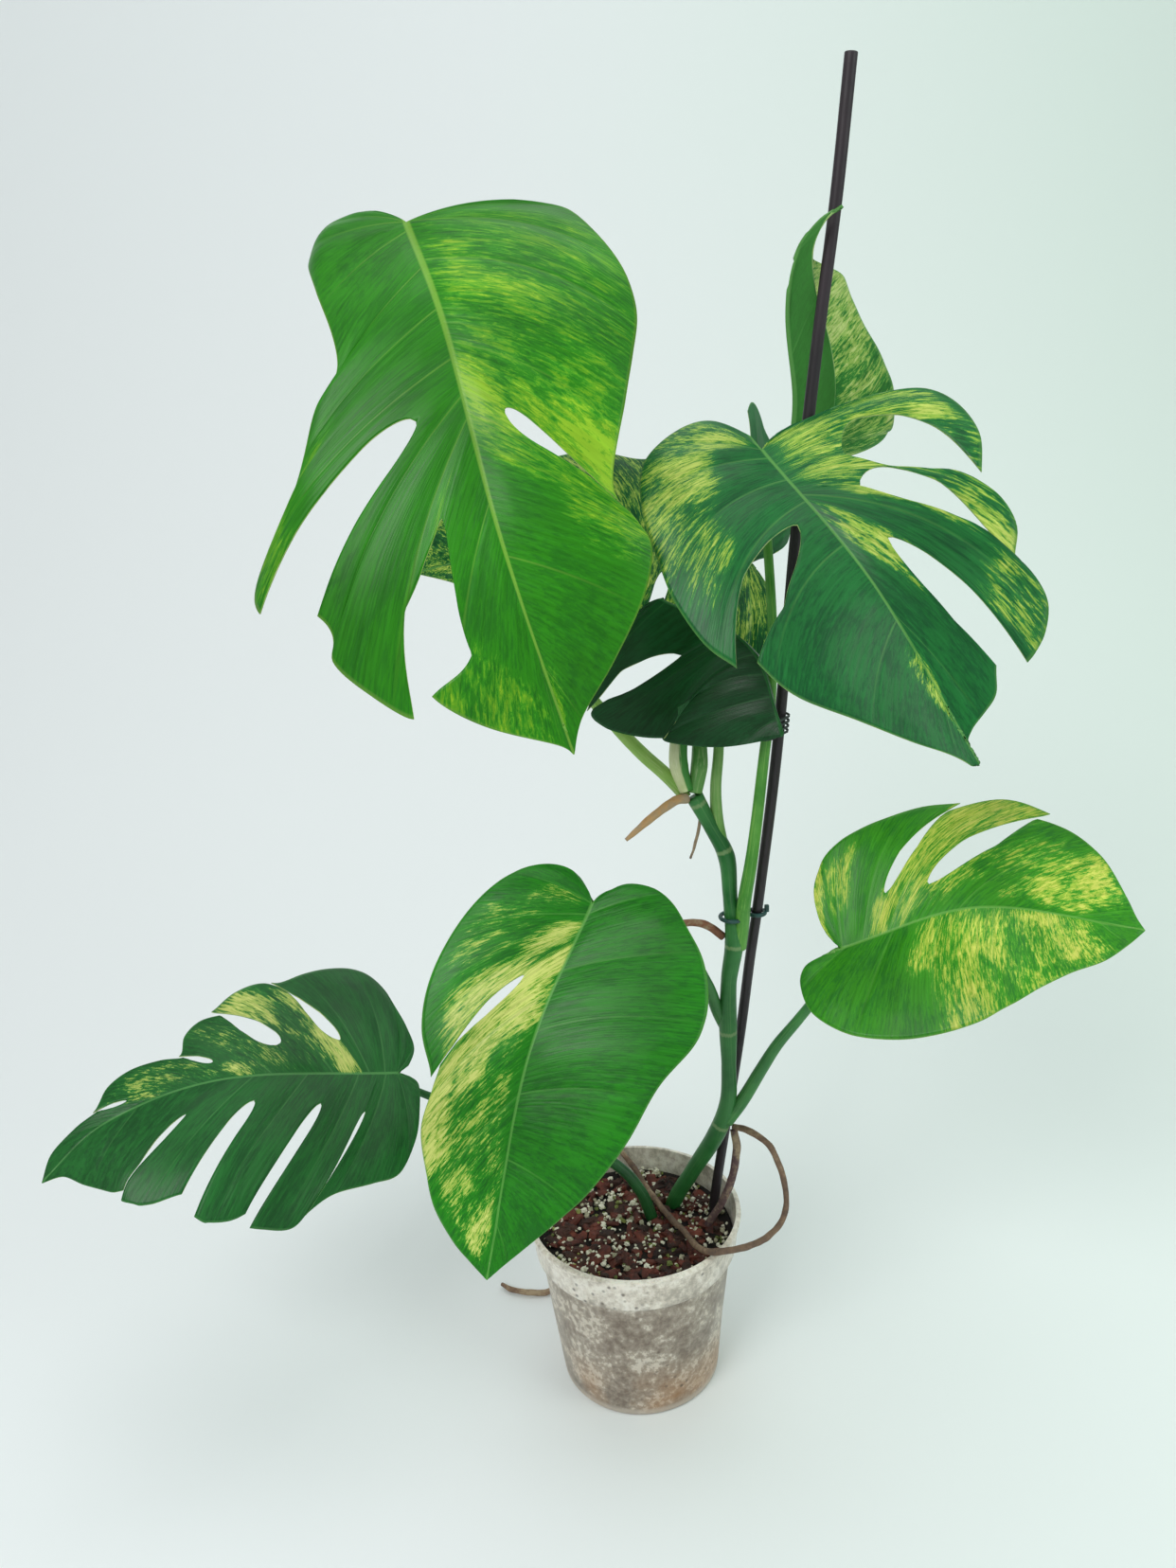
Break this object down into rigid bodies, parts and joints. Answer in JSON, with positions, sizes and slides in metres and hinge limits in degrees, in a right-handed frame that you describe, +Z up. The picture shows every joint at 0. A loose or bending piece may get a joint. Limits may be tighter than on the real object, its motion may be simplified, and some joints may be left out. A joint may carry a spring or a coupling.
{
  "type": "potted monstera",
  "caption": "Climbing monstera with large slit, yellow-streaked leaves on long stalks, tied to a dark stake in a clear round nursery pot of bark mix.",
  "frame": {"origin": "centre of the pot's underside, on the floor", "axes": "+Z up, +X to the viewer's right, +Y away from the viewer"},
  "size_m": [0.6887, 0.3265, 0.8264],
  "materials": {
    "pot": "milky translucent, satin, damp inside",
    "substrate": "rough damp bark with white grains",
    "stake": "matt dark coating",
    "clip": "smooth dark teal plastic",
    "tie": "thin coated wire, matt",
    "stem": "smooth satin green",
    "leaf_light": "satin light green with lime splashes",
    "leaf_mid": "satin green with cream-yellow sectors",
    "leaf_dark": "satin dark green with yellow-green streaks",
    "petiole": "smooth satin green",
    "petiole_light": "smooth pale green and cream",
    "root": "dry brown rind"
  },
  "bodies": {
    "root": {"pot": "pot", "substrate": "substrate", "stake": "stake", "vine_clip": "clip", "stake_tie": "tie", "stem": "stem", "leaf_a": "leaf_light", "leaf_b": "leaf_dark", "leaf_c": "leaf_mid", "leaf_d": "leaf_mid", "leaf_e": "leaf_dark", "leaf_f": "leaf_dark", "leaf_g": "leaf_dark", "leaf_h": "leaf_mid", "petiole_a": "petiole_light", "petiole_b": "petiole", "petiole_c": "petiole", "petiole_d": "petiole", "petiole_e": "petiole", "petiole_f": "petiole", "petiole_g": "petiole", "petiole_h": "petiole_light", "root_long": "root", "root_stake": "root", "root_joint": "root", "root_stub": "root", "root_thread": "root"}
  },
  "joints": []
}
